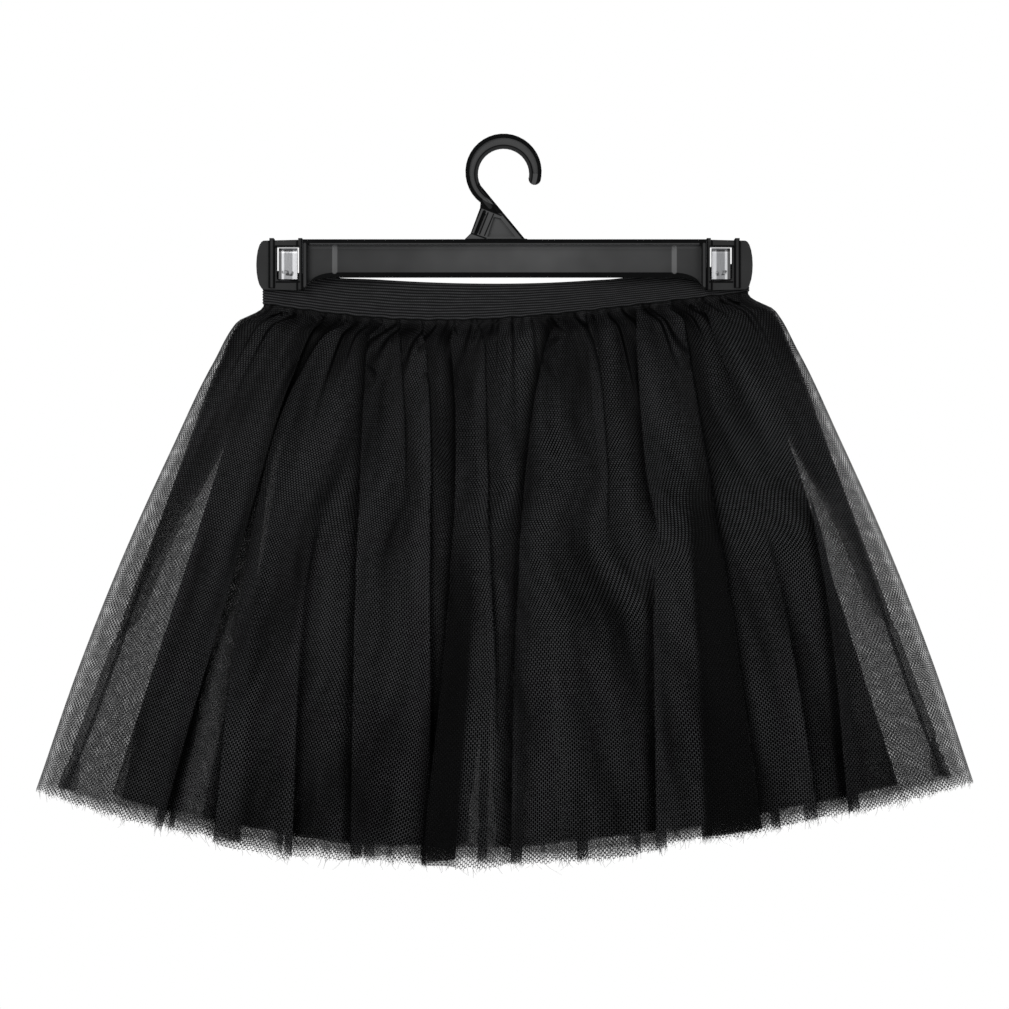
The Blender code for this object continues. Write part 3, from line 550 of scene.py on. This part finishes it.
def half_row(layer, folds, gathers, facing, drop):
    """Points along one half of a net tube at a drop, left to right, the path's length up to each of
    them, and the cloth's length above each.  A point is x, y, z, the net's press and painted shade,
    and single.

    The base is a flat curve, depth = half_depth * sqrt(1 - |x / half_width| ** flat).  Each fold
    moves the cloth across by -width / 2 * fold_wave and off the curve by -side * height * fold_wave,
    so that a wide fold runs back over itself in an S.  The cloth falls by what its length leaves
    after it has gone aside and out: sqrt(length ** 2 - aside ** 2 - out ** 2)."""
    sizes = dict(zip(LAYER_COLUMNS, LAYERS[layer]))
    depth_name = layer.split("_")[1]
    half_depth = section_at(drop, depth_name)
    bow = sizes["bow"] + drop * (sizes["bow_low"] - sizes["bow"])
    spread = drop + bow * (section_at(drop, "spread") - drop)
    widening = sizes["hem_half"] - sizes["waist_half"]
    half_width = sizes["waist_half"] + widening * spread
    flat = section_at(drop, "flat")

    turn = np.linspace(-0.5 * np.pi, 0.5 * np.pi, PATH_POINTS)
    base_x = half_width * np.sign(np.sin(turn)) * np.abs(np.sin(turn)) ** (2.0 / flat)
    base_y = facing * half_depth * np.cos(turn)
    run = np.concatenate([[0.0], np.cumsum(np.hypot(np.diff(base_x), np.diff(base_y)))])
    half_run = 0.5 * run[-1]
    run -= half_run
    place = np.linspace(-half_run, half_run, PATH_POINTS)
    slope_x, slope_y = np.gradient(base_x, turn), np.gradient(base_y, turn)
    size = np.hypot(slope_x, slope_y)

    moved = np.interp(place, run, base_x)
    lift, low, pressed_and_shaded = np.zeros((3, PATH_POINTS))
    laid = []
    corner = smooth((np.abs(moved) / half_width - SIDE_TURN["from"]) / SIDE_TURN["reach"])
    ends = smooth((half_run - np.abs(place)) / END_FADE)
    steps = section_at(np.array(FOLD_DROPS), "spread")
    fold_share = max(section_at(drop, "fold"), FOLD_LEAST)
    last_low = 0.0
    for row in folds:
        fold = dict(zip(FOLD_COLUMNS, row))
        line = [fold[name] for name in ("seam", "high", "low", "hem")]
        widths = [fold[name] for name in ("over_top", "over_mid", "over_hem")]
        across = float(through(section_at(drop, "spread"), steps, line))
        centre = np.interp(across, base_x, run)
        over = np.interp(drop, OVER_DROPS, widths)
        shows = fold_shows(fold, drop)
        soft = fold["soft"] * (FOLD_SEAM_SOFT + (1.0 - FOLD_SEAM_SOFT) * spread)
        off = (place - centre) / soft
        wave = fold_wave(off) * ends * shows
        moved -= 0.5 * (over + 2.0 * soft * smooth(over / FULL_OVERLAP)) * wave
        lift -= fold["side"] * fold["height"] * fold_share * wave
        # The net's press in the fold's turn, with painted shade.
        pressed_and_shaded += FOLD_PRESS_AND_SHADE * fold["height"] * shows * hill(off)
        low += (fold["hem_low"] - last_low) * (0.5 + 0.5 * np.tanh(off))
        last_low = fold["hem_low"]
        laid.append((across, centre, over, soft, fold["side"], fold["height"] * shows))
    for centre_share, side, height, fade in gathers:
        off = place - centre_share * half_run
        wave = fold_wave(off / (GATHER_HALF * half_run)) * ends
        shows = smooth(1.0 - drop / fade)
        lift -= side * height * wave * shows * smooth((drop - SEAM_FREE) / GATHER_GROW)
        # The net's press in the gather's groove, with painted shade.
        pressed_and_shaded += GATHER_PRESS_AND_SHADE * height * shows * hill(off / (GATHER_GROOVE * half_run))
    x = np.clip(moved, -half_width, half_width)
    for across, centre, over, soft, side, height in laid:
        beyond = np.maximum(side * (x - across) - 0.5 * over, 0.0)
        under = smooth(side * (place - centre) / soft - 1.0)
        pressed_and_shaded += FOLD_SHADOW * height * under * hill(beyond / SHADOW_REACH)
        edge = OVERLAP_SHADOW["edge"]
        inside = smooth((0.5 * over + edge - np.abs(x - across)) / (2.0 * edge))
        wide = smooth((over - OVERLAP_SHADOW["from"]) / OVERLAP_SHADOW["reach"])
        pressed_and_shaded += OVERLAP_SHADOW["depth"] * height * wide * inside
    y, normal_x, normal_y = (
        np.interp(place, run, line)
        for line in (base_y, -facing * slope_y / size, facing * slope_x / size)
    )
    lean = x / half_width
    y += (1.0 - corner) * (base_depth(lean, facing * half_depth, flat) - y)
    pressed_and_shaded += EDGE_SHADOW["depth"] * smooth((np.abs(lean) - EDGE_SHADOW["from"]) / EDGE_SHADOW["reach"])
    pressed_and_shaded += SEAM_SHADOW["depth"] * max(1.0 - drop / SEAM_SHADOW["drop"], 0.0) ** 2

    length = drop * (sizes["length"] - sizes["side_less"] * lean**2)
    aside = drop * lean * widening
    out = (half_depth - section_at(0.0, depth_name)) * np.sqrt(np.clip(1.0 - lean**2, 0.0, 1.0))
    fall = np.sqrt(length**2 - aside**2 - np.minimum(out, LEAN_LIMIT * length) ** 2) + low * drop**2
    fall = fall + HEM_TILT * drop**2 * base_depth(lean, facing * half_depth, flat)
    fall = fall + hem_ragged(place, facing, half_depth, drop)
    sewn_x = lean * (BAND_HALF + SEAM_STEP[layer])
    z = band_edge(sewn_x + BAND_CENTRE, BAND_SEAM_EDGE) - fall
    z += SEAM_TUCK * (1.0 - drop) - PIECE_GAP * drop
    end = np.clip((np.abs(sewn_x) - BAND_HALF + BAND_END) / (BAND_END + SEAM_STEP[layer]), 0.0, 1.0)
    sewn_half_depth = band_half_depth(sewn_x + BAND_CENTRE) + SEAM_STEP[layer]
    sewn_y = facing * sewn_half_depth * np.sqrt(1.0 - end**2)
    tuck = 1.0 - smooth((drop - SEAM_FREE) / SEAM_LEAVE)
    x += tuck * (sewn_x - x)
    y += tuck * (sewn_y - y)
    x = x + BAND_CENTRE * (1.0 - spread)
    single = smooth((np.abs(lean) - 1.0 + SINGLE_EDGE / half_width) * half_width / 2.0)
    single = np.maximum(single, smooth((drop - HEM_SINGLE) / (1.0 - HEM_SINGLE)) / THIN_PLY)
    pressed_and_shaded = np.minimum(pressed_and_shaded, 1.0)
    points = [x + lift * normal_x, y + lift * normal_y + CLOTH_Y, z, pressed_and_shaded, single]
    points = np.stack(points, axis=1)
    steps = np.linalg.norm(np.diff(points[:, :3], axis=0), axis=1)
    return points, np.concatenate([[0.0], np.cumsum(steps)]), length


def net_gathers(layer, facing):
    """Rows of place, side, height and fade for the small gathers along the seam."""
    number = np.arange(GATHER_COUNT)
    phase = len(layer) + facing
    place, height, fade = (
        mean + swing * np.sin(step * number + slip * phase)
        for mean, swing, step, slip in (GATHER_QUALITIES[name] for name in ("place", "height", "fade"))
    )
    share = (number + place) * 2.0 / GATHER_COUNT - 1.0
    side = np.where(number % 2 == 0, 1.0, -1.0)
    return np.stack([share * GATHER_SPAN, side, height, fade], axis=1)


def new_object(name, points, faces, material):
    """An object at the origin from points in mm and faces."""
    mesh = bpy.data.meshes.new(name)
    mesh.from_pydata((points.reshape(-1, 3) * MM).tolist(), [], faces.tolist())
    mesh.materials.append(material)
    obj = bpy.data.objects.new(name, mesh)
    bpy.context.scene.collection.objects.link(obj)
    return obj


def ring_grid(name, points, cloth, material):
    """A smooth mesh from a (rows, columns, 3) grid whose last column stands on its first and is
    joined to it.  cloth gives each point's place on the flat cloth."""
    rows, columns = points.shape[:2]
    number = np.arange(rows * columns).reshape(rows, columns)
    kept = columns - 1
    real = np.arange(rows)[:, None] * kept + np.arange(columns)[None, :] % kept
    first, second = slice(0, -1), slice(1, None)
    quad = ((first, first), (second, first), (second, second), (first, second))
    faces = np.stack([real[corner].ravel() for corner in quad], axis=1)
    spots = np.stack([number[corner].ravel() for corner in quad], axis=1)
    obj = new_object(name, points[:, :kept], faces, material)
    layer = obj.data.uv_layers.new(name="cloth")
    layer.data.foreach_set("uv", cloth.reshape(-1, 2)[spots.ravel()].ravel())
    obj.data.shade_smooth()
    return obj


def net_tube(name, layer, halves, material):
    """A gathered net tube: rows of equal path length from seam to hem, front left to right and back
    right to left, so that the net's cells keep their size.  Also gives the length round the hem and
    the hem's points."""
    count = NET_COLUMNS[layer]
    t = np.linspace(0.0, 1.0, NET_ROWS)
    share = np.linspace(0.0, 1.0, count)
    points, cloth, widths = [], [], []
    for drop in ROW_SPACING * t + (1.0 - ROW_SPACING) * t**2:
        row, spot = [], []
        for folds, gathers, facing in halves:
            line, path, length = half_row(layer, folds, gathers, facing, drop)
            where = (share if facing < 0 else share[::-1]) * path[-1]
            row.append(np.stack([np.interp(where, path, values) for values in line.T], axis=1))
            spot.append(np.interp(where, path, length))
            widths.append(path[-1])
        points.append(np.concatenate([row[0], row[1][1:]]))
        down = np.concatenate([spot[0], spot[1][1:]])
        cloth.append(np.stack([np.linspace(0.0, 2.0, 2 * count - 1), down], axis=1))
    points, cloth = np.array(points), np.array(cloth)
    hem_width = widths[-2] + widths[-1]
    cloth[:, :, 0] *= 0.5 * hem_width
    along, down = np.moveaxis(cloth.copy(), 2, 0)
    for *swings, reach_along, reach_down, shift in GRAIN_DRIFTS:
        wave = np.sin(along / reach_along + down / reach_down + shift)
        cloth += wave[:, :, None] * np.array(swings)
    tube = ring_grid(name, points[:, :, :3], cloth, material)
    for number, attribute_name in ((3, "pressed_and_shaded"), (4, "single")):
        attribute = tube.data.attributes.new(attribute_name, "FLOAT", "POINT")
        attribute.data.foreach_set("value", points[:, :-1, number].ravel())
    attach(tube, "root")
    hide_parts(layer)
    return tube, hem_width, points[-1, :, :3]


def hem_threads(layer, hem, material):
    """Cut ends of the net along the hem.  Each is a thin three-sided strand, a little over
    THREAD["length"] and seldom far more, that hangs from the hem and bends aside by its length
    times lean * s + bend * s ** 2."""
    count = HEM_THREADS[layer]
    rng = np.random.default_rng(count)
    where = rng.uniform(0.0, len(hem) - 1.0, count)
    along = np.arange(len(hem))
    root, way = (
        np.stack([np.interp(where, along, line) for line in lines.T], axis=1)
        for lines in (hem, np.gradient(hem, axis=0))
    )
    way /= np.linalg.norm(way, axis=1)[:, None]
    more = THREAD["more"] * rng.uniform(0.0, 1.0, count) ** THREAD["power"]
    length = (THREAD["length"] + more)[:, None, None]
    lean, bend = rng.normal(0.0, THREAD["lean"], (2, count, 1, 1))
    s = np.array([0.0, 0.5, 1.0])[None, :, None]
    down = np.array([0.0, 0.0, -1.0])
    spine = root[:, None, :] + length * (s * down + (lean * s + bend * s**2) * way[:, None, :])
    angle = math.tau * np.arange(3) / 3.0
    ring = np.stack([np.cos(angle), np.sin(angle), np.zeros(3)], axis=1) * THREAD["radius"]
    points = spine[:, :, None, :] + ring * (1.0 - 0.5 * s[..., None])
    quads = [
        (3 * k + j, 3 * k + 3 + j, 3 * k + 3 + (j + 1) % 3, 3 * k + (j + 1) % 3)
        for k in range(2)
        for j in range(3)
    ]
    faces = 9 * np.arange(count)[:, None, None] + np.array(quads)
    threads = new_object(layer + "_hem_threads", points, faces.reshape(-1, 4), material)
    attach(threads, "root")
    return threads


def thread_material():
    """Loose black threads, some of them paler where they catch the light."""
    material, wires, shader = new_material("loose_black_thread", {"Specular IOR Level": 0.1})
    light = noise_of(wires, wires.node("ShaderNodeTexCoord", out="Object"), 700.0, 3.0)
    coloured(wires, shader, light, (0.001, 0.001, 0.001), (0.05, 0.05, 0.052))
    join(wires, light * 0.3 + 0.5, shader, "Roughness")
    return material


def gathered_nets():
    """The three net tubes and the loose threads along their hems."""
    nets = {
        "tulle_outer": net_material("two_black_nets", OUTER_PLIES, lit=0.053),
        "tulle_middle": net_material("black_net", MIDDLE_PLIES, lit=0.010),
        "tulle_inner": net_material("black_lining_net", INNER_PLIES, lit=0.008),
    }
    loose_thread = thread_material()
    for layer, net in nets.items():
        halves = [
            (folds, net_gathers(layer, facing), facing)
            for folds, facing in zip(FOLDS[layer], (-1.0, 1.0))
        ]
        tube, width, hem = net_tube(layer + "_net", layer, halves, net)
        threads = hem_threads(layer, hem, loose_thread)
        length = dict(zip(LAYER_COLUMNS, LAYERS[layer]))["length"]
        flat = (width * MM, length * MM)


def band_ring(inset, drop, lower):
    """A ring round the band, inset from its ribs' crests, as far down as drop says and lower still
    by some mm.  The ribs waver a little and the sewn edge puckers, both as sine waves."""
    straight = BAND_HALF - BAND_END
    x_front = np.linspace(-straight, straight, 301)
    turn = np.linspace(-0.5 * np.pi, 0.5 * np.pi, 14)[1:-1]
    front_y = -(band_half_depth(x_front + BAND_CENTRE) - inset)
    end_y = (BAND_HALF_DEPTH - inset) * np.sin(turn)
    end_x = straight + (BAND_END - inset) * np.cos(turn)
    x = np.concatenate([x_front, end_x, x_front[::-1], -end_x, x_front[:1]]) + BAND_CENTRE
    y = np.concatenate([front_y, end_y, -front_y[::-1], -end_y, front_y[:1]])
    top, seam = band_edge(x, BAND_TOP_EDGE), band_edge(x, BAND_SEAM_EDGE)
    for place, depth, reach in BAND_DIPS:
        top -= depth * hill((x - place) / reach)
    waver = sum(height * np.sin(x / reach + slip * drop) for height, reach, slip in BAND_WAVER)
    pucker = np.sin(x / BAND_PUCKER["short"]) * np.sin(x / BAND_PUCKER["long"] + 1.0)
    pucker *= BAND_PUCKER["height"] * smooth((drop - BAND_PUCKER["from"]) / (1.0 - BAND_PUCKER["from"]))
    z = top + drop * (seam - top) + waver * np.sin(np.pi * drop) + pucker - lower
    return np.stack([x, y + CLOTH_Y, z], axis=1)


def ribbed_band(material):
    """A loop of elastic.  Its section runs down the outside over the ribs, a raised cosine each, round
    the thin lip that covers the net's sewn edge, up behind that edge, and up the smooth inside."""
    count = BAND_RIBS * RIB_STEPS
    section = [
        (BAND_RIB * (0.5 + 0.5 * math.cos(math.tau * step / RIB_STEPS)), step / count, 0.0)
        for step in range(count + 1)
    ]
    inside = BAND_RIB + BAND_WALL
    section += [(0.5 * BAND_SKIN, 1.0, BAND_LIP), (BAND_SKIN, 1.0, 0.0)]
    section += [(BAND_SKIN, 0.84, 0.0), (inside, 0.83, 0.0)]
    section += [(inside, share, 0.0) for share in (0.6, 0.4, 0.2, 0.01)]
    section += [(inside - 0.3, 0.0, -0.1), (BAND_RIB + 0.3, 0.0, -0.1), section[0]]
    points = np.array([band_ring(*row) for row in section])
    around = np.linalg.norm(np.diff(points[0], axis=0), axis=1)
    down = np.abs(np.diff([share for _, share, _ in section])) * BAND_HEIGHT
    cloth = np.meshgrid(*(np.concatenate([[0.0], np.cumsum(steps)]) for steps in (around, down)))
    band = ring_grid("waistband_elastic", points, np.stack(cloth, axis=2), material)
    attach(band, "root")
    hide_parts("waistband")


def elastic_material():
    """Black ribbed elastic: painted light on the crests of covered rubber, broken by small knit ticks
    across them and uneven in patches, and painted shade in the grooves."""
    constants = {"Specular IOR Level": 0.12, "Sheen Weight": 0.05}
    material, wires, shader = new_material("ribbed_elastic", constants)
    cloth = wires.node("ShaderNodeUVMap", {"uv_map": "cloth"})
    along, down = wires.part(cloth, "X"), wires.part(cloth, "Y")
    rib_step = math.tau * BAND_RIBS / BAND_HEIGHT
    rib = wires.maths("COSINE", down * rib_step) * -0.5 + 0.5
    slant = wires.maths("SINE", down * (0.5 * rib_step)) * 2.4
    tick = wires.maths("SINE", along * (math.tau / TICK_LENGTH) + slant) * 0.5 + 0.5
    patchy = noise_of(wires, wires.vector("MULTIPLY", cloth, (0.12, 0.45, 0.0)), 1.0)
    fuzz = noise_of(wires, cloth, 1.4, 3.0)
    crest = rib * (tick * 0.5 + 0.5)
    # Painted light on the crests, uneven in patches; the grooves keep the painted shade.
    light = wires.maths("MULTIPLY", crest, patchy * 0.9 + fuzz * 0.9, clamp=True)
    coloured(wires, shader, light, (0.0015, 0.0015, 0.0016), (0.058, 0.058, 0.06))
    join(wires, fuzz * 0.2 + 0.75, shader, "Roughness")
    bumped(wires, shader, crest + fuzz * 0.3, 0.25)
    return material


def front_place(wires, place, fold):
    """The place in a front view, in mm, with y as 0; fold makes it the same on left and right."""
    flat = wires.vector("MULTIPLY", place, (1.0 / MM, 0.0, 1.0 / MM))
    return wires.vector("ABSOLUTE", flat) if fold else flat


def near_line(wires, spot, start, end, half):
    """1 within half a width of the line from start to end, by the distance to its nearest point."""
    start, end = np.array([start[0], 0.0, start[1]]), np.array([end[0], 0.0, end[1]])
    way = end - start
    out = wires.vector("SUBTRACT", spot, start.tolist())
    share = wires.vector("DOT_PRODUCT", out, (way / (way @ way)).tolist(), out="Value")
    share = wires.maths("ADD", share, 0.0, clamp=True)
    foot = wires.vector("SCALE", way.tolist(), Scale=share)
    return wires.within(wires.vector("DISTANCE", out, foot, out="Value"), half, MARK_SLOPE)


def near_ring(wires, spot, ring, half):
    """1 within half a width of a ring, by the distance to its centre."""
    (x, z), radius = ring
    away = wires.vector("DISTANCE", spot, (x, 0.0, z), out="Value")
    return wires.within(wires.maths("ABSOLUTE", away - radius), half, MARK_SLOPE)


def plastic_material(name, matte_and_reflection, floor, lines=(), rings=(), fold=False, spread=None, painted_glints=()):
    """Moulded black plastic: grey on the floors of its recesses, which lie within floor's reach of its
    middle along Y, partly their matte finish and partly a painted reflection of the front light;
    glossy black on the rims and along the edge lines, painted glints as pale lines, faint flow marks
    and scuffs.  spread (centre, half width, least) fades the grey to both sides, a painted
    reflection that is brightest near its centre."""
    material, wires, shader = new_material(name, {"Specular IOR Level": 0.14})
    place = wires.node("ShaderNodeTexCoord", out="Object")
    spot = front_place(wires, place, fold)
    middle, reach = floor
    off = wires.maths("ABSOLUTE", wires.part(place, "Y") * (1.0 / MM) - middle)
    grey = wires.within(off, reach, 2.0)
    for start, end, half in lines:
        grey = grey * (1.0 - near_line(wires, spot, start, end, half))
    for ring, half, dark in rings:
        grey = grey * (1.0 - near_ring(wires, spot, ring, half) * dark)
    grain = noise_of(wires, place, 900.0, 3.0)
    scuffs = wires.maths("MULTIPLY_ADD", noise_of(wires, place, 160.0, 4.0), 4.0, -2.2, clamp=True)
    level = grey * (noise_of(wires, place, 38.0) * 0.7 + 0.65)
    # Painted reflection: the grey is brightest near spread's centre and fades to both sides.
    if spread:
        centre, half, least = spread
        away = wires.maths("ABSOLUTE", wires.part(spot, "X") - centre)
        near = wires.maths("MULTIPLY_ADD", away, -1.0 / half, 1.0, clamp=True)
        level = level * (near * (1.0 - least) + least)
    # Painted glints: pale lines of painted highlight along edges and steps.
    for start, end, half, shine in painted_glints:
        level = level + near_line(wires, spot, start, end, half) * shine
    coloured(wires, shader, level * 0.5, (0.0016, 0.0016, 0.0017), (matte_and_reflection * 2.0,) * 3)
    join(wires, level * 0.25 + grain * 0.12 + scuffs * 0.08 + 0.2, shader, "Roughness")
    bumped(wires, shader, grain + scuffs * 0.5, 0.02)
    return material


def spring_material():
    """Plated spring steel: a brushed stripe down the middle of a polished strip, painted shade along
    its outer edge, and a few spots of tarnish at its foot."""
    material, wires, shader = new_material("plated_spring_steel", {"Metallic": 1.0})
    place = wires.node("ShaderNodeTexCoord", out="Object")
    spot = front_place(wires, place, True)
    away = wires.maths("ABSOLUTE", wires.part(spot, "X") - STRIPE["centre"])
    stripe = wires.within(away, STRIPE["half"], STRIPE["slope"])
    brushed = noise_of(wires, wires.vector("MULTIPLY", place, (1.0, 1.0, 0.12)), 1500.0, 3.0)
    spots = wires.maths("MULTIPLY_ADD", noise_of(wires, place, 420.0, 3.0), 6.0, -2.4, clamp=True)
    tarnish = spots * near_line(wires, spot, *SPRING_FOOT)
    # Painted shade along the strip's outer edge, over the tarnish.
    dull_and_shaded = wires.maths("MAXIMUM", tarnish, near_line(wires, spot, *SPRING_EDGE_SHADE) * 0.95)
    dull_and_shaded = wires.maths("MAXIMUM", dull_and_shaded, stripe * (0.12 + brushed * 0.42))
    coloured(wires, shader, dull_and_shaded, (0.88, 0.88, 0.89), (0.12, 0.12, 0.12))
    join(wires, 0.42 - stripe * 0.14 + brushed * 0.06, shader, "Roughness")
    bumped(wires, shader, brushed, 0.01, 0.5)
    return material


def dress_hanger():
    """Puts the looks on the hanger's own pieces."""
    looks = {
        "hook": plastic_material(
            "hook_plastic", 0.064, (0.0, 4.0), HOOK_LINES, HOOK_RINGS, painted_glints=HOOK_PAINTED_GLINTS
        ),
        "hanger_bar": plastic_material(
            "bar_plastic", 0.078, (0.9, 1.7), spread=(15.0, 115.0, 0.45), painted_glints=BAR_PAINTED_GLINTS
        ),
        "clip_spring": spring_material(),
        "jaw": plastic_material("jaw_plastic", 0.026, (6.0, 9.0), JAW_LINES, fold=True),
    }
    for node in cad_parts:
        for piece, look in looks.items():
            if node.startswith(piece):
                for slot in bpy.data.objects[node].material_slots:
                    slot.material = look


def world_and_lights():
    """White behind the object, a dimmer white around it, and two soft boxes in front."""
    world = bpy.data.worlds.new("studio")
    bpy.context.scene.world = world
    world.use_nodes = True
    tree = world.node_tree
    tree.nodes.clear()
    wires = Wire(tree)
    seen = wires.node("ShaderNodeLightPath", out="Is Camera Ray")
    dim = {"Color": (0.93, 0.96, 1.0, 1.0), "Strength": 0.22}
    white = {"Color": (1.0, 1.0, 1.0, 1.0), "Strength": 1.0}
    around, behind = (wires.node("ShaderNodeBackground", (), values, 0) for values in (dim, white))
    mix = wires.node("ShaderNodeMixShader", (), {0: seen, 1: around, 2: behind})
    output = tree.nodes.new("ShaderNodeOutputWorld")
    tree.links.new(mix.socket, output.inputs["Surface"])
    for name, (place, size, power) in LAMPS.items():
        lamp = bpy.data.lights.new(name, "AREA")
        lamp.size = size
        lamp.energy = power
        obj = bpy.data.objects.new(name, lamp)
        obj.location = place
        way = np.array(LAMP_AIM) - np.array(place)
        tilt = math.acos(-way[2] / np.linalg.norm(way))
        obj.rotation_euler = (tilt, 0.0, math.atan2(-way[0], way[1]))
        bpy.context.scene.collection.objects.link(obj)


def pale_floor():
    """A round, pale floor under the skirt."""
    turn = math.tau * np.arange(FLOOR["corners"]) / FLOOR["corners"]
    height = np.full(FLOOR["corners"], FLOOR["height"])
    rim = np.stack([FLOOR["radius"] * np.cos(turn), FLOOR["radius"] * np.sin(turn), height], axis=1)
    constants = {"Base Color": (0.85, 0.85, 0.85, 1.0), "Roughness": 0.8}
    look, _, _ = new_material("pale_floor", constants)
    new_object("floor", rim / MM, np.arange(FLOOR["corners"])[None, :], look)


def front_camera():
    """A camera straight in front, level with the middle of the skirt and hanger."""
    lens = bpy.data.cameras.new("front_view")
    lens.lens = CAMERA["sensor"] * CAMERA["distance"] / CAMERA["view_width"]
    camera = bpy.data.objects.new("front_view", lens)
    camera.location = (0.0, -CAMERA["distance"], CAMERA["height"])
    camera.rotation_euler = (0.5 * math.pi, 0.0, 0.0)
    bpy.context.scene.collection.objects.link(camera)
    bpy.context.scene.camera = camera


gathered_nets()
ribbed_band(elastic_material())
dress_hanger()
world_and_lights()
pale_floor()
front_camera()
bpy.context.scene.view_settings.view_transform = "Standard"
bpy.context.scene.cycles.transparent_max_bounces = 32
